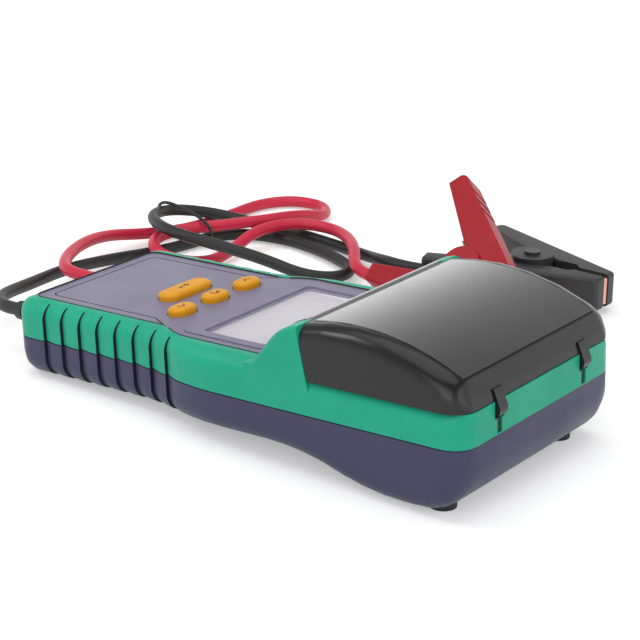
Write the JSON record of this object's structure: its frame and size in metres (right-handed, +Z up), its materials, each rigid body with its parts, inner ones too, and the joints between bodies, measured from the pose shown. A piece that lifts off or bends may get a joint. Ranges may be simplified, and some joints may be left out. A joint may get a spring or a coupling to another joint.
{
  "type": "battery tester",
  "caption": "Hand-held battery tester with a ribbed grip, display, push buttons, built-in receipt printer under a hinged cover, and clamp leads.",
  "frame": {"origin": "middle of the case footprint on the table, under its feet", "axes": "+X along the case towards the printer end, +Y across it towards the clamps, +Z up from the table"},
  "size_m": [0.2986, 0.2589, 0.0599],
  "materials": {
    "case_navy": "satin",
    "case_green": "satin",
    "panel_grey": "satin",
    "tear_grey": "satin",
    "bezel_grey": "gloss",
    "window_clear": "clear",
    "key_amber": "satin",
    "board_green": "satin",
    "steel": "satin",
    "switch_black": "satin",
    "lcd_grey": "gloss",
    "spacer_white": "satin",
    "frame_steel": "satin",
    "motor_metal": "satin",
    "platen_rubber": "matte",
    "paper_white": "matte",
    "cover_black": "satin",
    "cover_plate": "satin",
    "foot_rubber": "matte",
    "lead_black": "satin",
    "lead_red": "satin",
    "clamp_black": "satin",
    "clamp_red": "satin",
    "rivet_steel": "satin",
    "teeth_copper": "brushed"
  },
  "bodies": {
    "case": {"upper_case": "case_green", "lower_case": "case_navy", "front_panel": "panel_grey", "tear_bar": "tear_grey", "display_bezel": "bezel_grey", "display_window": "window_clear", "main_board": "board_green", "board_screws": "steel", "key_switches": "switch_black", "lcd_module": "lcd_grey", "display_spacers": "spacer_white", "board_components": "switch_black", "printer_frame": "frame_steel", "frame_screws": "steel", "stepper_motor": "motor_metal", "print_head": "motor_metal", "head_springs": "steel", "printer_tub": "switch_black", "hinge_pins": "steel", "case_screws": "steel", "rubber_feet": "foot_rubber", "black_boot": "lead_black", "red_boot": "lead_red", "black_clamp_base": "clamp_black", "black_clamp_rivet": "rivet_steel", "black_clamp_spring": "steel", "black_base_teeth": "teeth_copper", "red_clamp_base": "clamp_red", "red_clamp_rivet": "rivet_steel", "red_clamp_spring": "steel", "red_base_teeth": "teeth_copper", "black_lead": "lead_black", "red_lead": "lead_red", "lead_tie": "lead_black"},
    "return_key": {"return_button": "key_amber"},
    "down_key": {"down_button": "key_amber"},
    "up_key": {"up_button": "key_amber"},
    "enter_key": {"enter_button": "key_amber"},
    "cover": {"printer_cover": "cover_black", "cover_panel": "cover_plate"},
    "platen": {"platen_shaft": "steel", "platen_roller": "platen_rubber", "platen_gear": "spacer_white"},
    "idler": {"idler_gear": "spacer_white"},
    "pinion": {"motor_pinion": "spacer_white"},
    "roll": {"paper_roll": "paper_white"},
    "black_jaw": {"black_clamp_jaw": "clamp_black", "black_jaw_teeth": "teeth_copper"},
    "red_jaw": {"red_clamp_jaw": "clamp_red", "red_jaw_teeth": "teeth_copper"}
  },
  "joints": [
    {"name": "return_press", "type": "slide", "parent": "case", "child": "return_key", "axis": [0.0531, 0, -0.9986], "range_m": [0, 0.001], "stiffness_N_per_m": 300},
    {"name": "down_press", "type": "slide", "parent": "case", "child": "down_key", "axis": [0.0531, 0, -0.9986], "range_m": [0, 0.001], "stiffness_N_per_m": 300},
    {"name": "up_press", "type": "slide", "parent": "case", "child": "up_key", "axis": [0.0531, 0, -0.9986], "range_m": [0, 0.001], "stiffness_N_per_m": 300},
    {"name": "enter_press", "type": "slide", "parent": "case", "child": "enter_key", "axis": [0.0531, 0, -0.9986], "range_m": [0, 0.001], "stiffness_N_per_m": 300},
    {"name": "cover_hinge", "type": "hinge", "parent": "case", "child": "cover", "pos_m": [0.10776, 0, 0.03719], "axis": [0, 1, 0], "range_deg": [0, 90]},
    {"name": "platen_spin", "type": "hinge", "parent": "cover", "child": "platen", "pos_m": [0.04432, 0, 0.04763], "axis": [0, 1, 0], "continuous": true},
    {"name": "idler_spin", "type": "hinge", "parent": "case", "child": "idler", "pos_m": [0.04213, 0, 0.03632], "axis": [0, 1, 0], "continuous": true},
    {"name": "pinion_spin", "type": "hinge", "parent": "case", "child": "pinion", "pos_m": [0.03713, 0, 0.02799], "axis": [0, 1, 0], "continuous": true},
    {"name": "roll_spin", "type": "hinge", "parent": "case", "child": "roll", "pos_m": [0.07536, 0, 0.02886], "axis": [0, 1, 0], "continuous": true},
    {"name": "black_jaw_hinge", "type": "hinge", "parent": "case", "child": "black_jaw", "pos_m": [0.0035, 0.165, 0.0107], "axis": [0, 0, 1], "range_deg": [0, 28], "stiffness_Nm_per_rad": 0.6, "springref_deg": -20.05, "deforming": ["black_clamp_spring"]},
    {"name": "red_jaw_hinge", "type": "hinge", "parent": "case", "child": "red_jaw", "pos_m": [-0.0028, 0.123, 0.0193], "axis": [-0.0985, -0.7264, 0.6802], "range_deg": [0, 28], "stiffness_Nm_per_rad": 0.6, "springref_deg": -20.05, "deforming": ["red_clamp_spring"]}
  ],
  "couplings": [
    {"joint": "idler_spin", "follows": "platen_spin", "ratio": -0.9},
    {"joint": "pinion_spin", "follows": "platen_spin", "ratio": 1.5}
  ]
}
